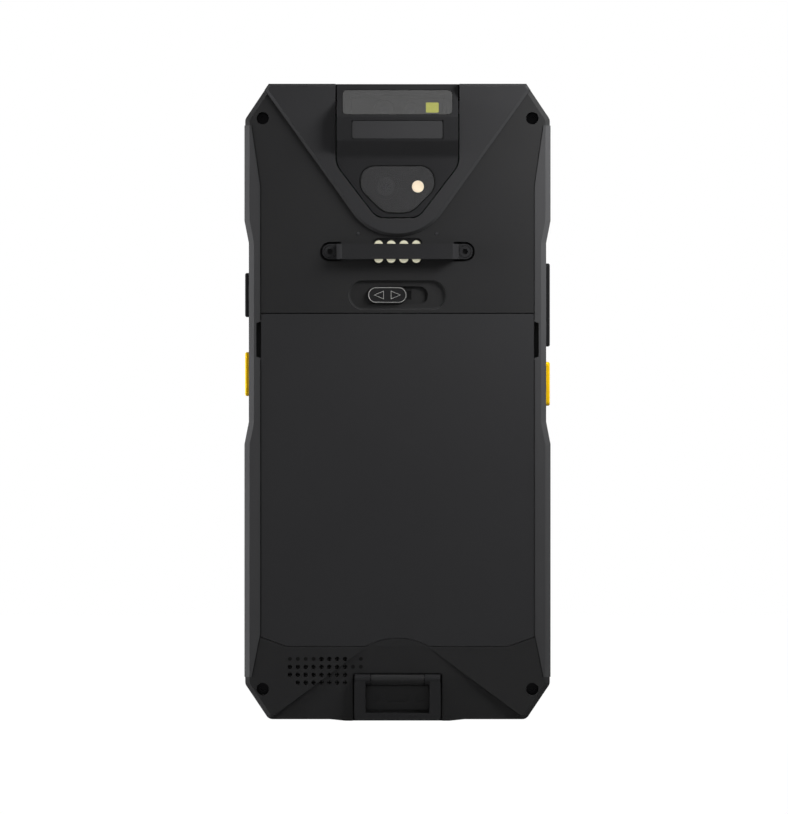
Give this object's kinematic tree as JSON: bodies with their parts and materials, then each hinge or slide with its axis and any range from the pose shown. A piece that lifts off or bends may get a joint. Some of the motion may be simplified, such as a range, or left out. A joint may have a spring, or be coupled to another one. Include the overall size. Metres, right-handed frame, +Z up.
{
  "type": "portable barcode data terminal",
  "caption": "Rugged handheld barcode terminal with a scan head, removable rear battery, side keys, strap bar and folding strap loop.",
  "frame": {"origin": "centre of the bounding box at its bottom, where the terminal stands on its lower edge", "axes": "+Z up along the terminal towards the scan window, +Y out of the display, -Y out of the back"},
  "size_m": [0.0766, 0.02, 0.1593],
  "materials": {
    "casing_plastic": "fine spark texture",
    "battery_plastic": "fine spark texture",
    "grip_rubber": "moulded soft-touch rubber",
    "scan_plastic": "satin",
    "key_black": "matte",
    "key_yellow": "matte",
    "cover_glass": "polished",
    "window_plastic": "tinted, polished",
    "lens_glass": "polished",
    "diffuser": "frosted",
    "screen": "laminated",
    "magnesium": "die cast",
    "circuit_board": "solder mask",
    "steel": "stamped",
    "dark_steel": "blackened",
    "gold": "plated",
    "mesh": "woven",
    "engine_plastic": "moulded",
    "black_plastic": "moulded",
    "seal_rubber": "moulded silicone",
    "cell_foil": "foil",
    "bar_steel": "powder coat"
  },
  "bodies": {
    "terminal": {"rear_housing": "casing_plastic", "front_bezel": "casing_plastic", "cover_glass": "cover_glass", "display_panel": "screen", "mid_frame": "magnesium", "earpiece": "black_plastic", "earpiece_mesh": "mesh", "front_camera": "lens_glass", "main_board": "circuit_board", "shield_can": "steel", "power_shield_can": "steel", "vibration_motor": "steel", "usb_port": "steel", "speaker": "black_plastic", "speaker_mesh": "mesh", "left_switch_strip": "steel", "right_switch_strip": "steel", "scan_head_shell": "scan_plastic", "scan_nose": "scan_plastic", "scan_window": "window_plastic", "blank_plate": "black_plastic", "scan_engine": "engine_plastic", "scan_lens": "lens_glass", "aimer_lens": "lens_glass", "illumination_lamp": "diffuser", "camera_window": "window_plastic", "flash_lens": "diffuser", "camera_barrel": "black_plastic", "camera_lens": "lens_glass", "right_grip": "grip_rubber", "left_grip": "grip_rubber", "strap_bar": "bar_steel", "strap_bar_screws": "dark_steel", "contact_pad": "black_plastic", "rear_contacts": "gold", "latch_keeper": "black_plastic", "bay_contact_pins": "gold", "card_socket": "steel", "corner_screws": "dark_steel", "dock_guide": "black_plastic"},
    "battery": {"battery_case": "battery_plastic", "battery_cell": "cell_foil", "battery_contacts": "gold", "battery_seal": "seal_rubber"},
    "latch": {"latch_knob": "black_plastic", "latch_bolt": "black_plastic"},
    "left_button": {"left_key": "key_black"},
    "left_scan_button": {"left_scan_key": "key_yellow"},
    "right_scan_button": {"right_scan_key": "key_yellow"},
    "rocker_button": {"right_rocker": "key_black"},
    "loop": {"strap_loop": "scan_plastic", "loop_pin": "dark_steel"}
  },
  "joints": [
    {"name": "battery_tilt", "type": "hinge", "parent": "terminal", "child": "battery", "pos_m": [0, -0.0065, 0.01875], "axis": [1, 0, 0], "range_deg": [0, 30]},
    {"name": "latch_slide", "type": "slide", "parent": "terminal", "child": "latch", "axis": [1, 0, 0], "range_m": [0, 0.0051]},
    {"name": "left_key_press", "type": "slide", "parent": "terminal", "child": "left_button", "axis": [1, 0, 0], "range_m": [0, 0.0003], "stiffness_N_per_m": 1500},
    {"name": "left_scan_key_press", "type": "slide", "parent": "terminal", "child": "left_scan_button", "axis": [1, 0, 0], "range_m": [0, 0.0003], "stiffness_N_per_m": 1500},
    {"name": "right_scan_key_press", "type": "slide", "parent": "terminal", "child": "right_scan_button", "axis": [-1, 0, 0], "range_m": [0, 0.0003], "stiffness_N_per_m": 1500},
    {"name": "right_rocker_tilt", "type": "hinge", "parent": "terminal", "child": "rocker_button", "pos_m": [0.037, 0.0034, 0.10415], "axis": [0, 1, 0], "range_deg": [-1.3, 1.3], "stiffness_Nm_per_rad": 0.05},
    {"name": "strap_loop_swing", "type": "hinge", "parent": "terminal", "child": "loop", "pos_m": [0, -0.0064, 0.01035], "axis": [-1, 0, 0], "range_deg": [0, 100]}
  ]
}
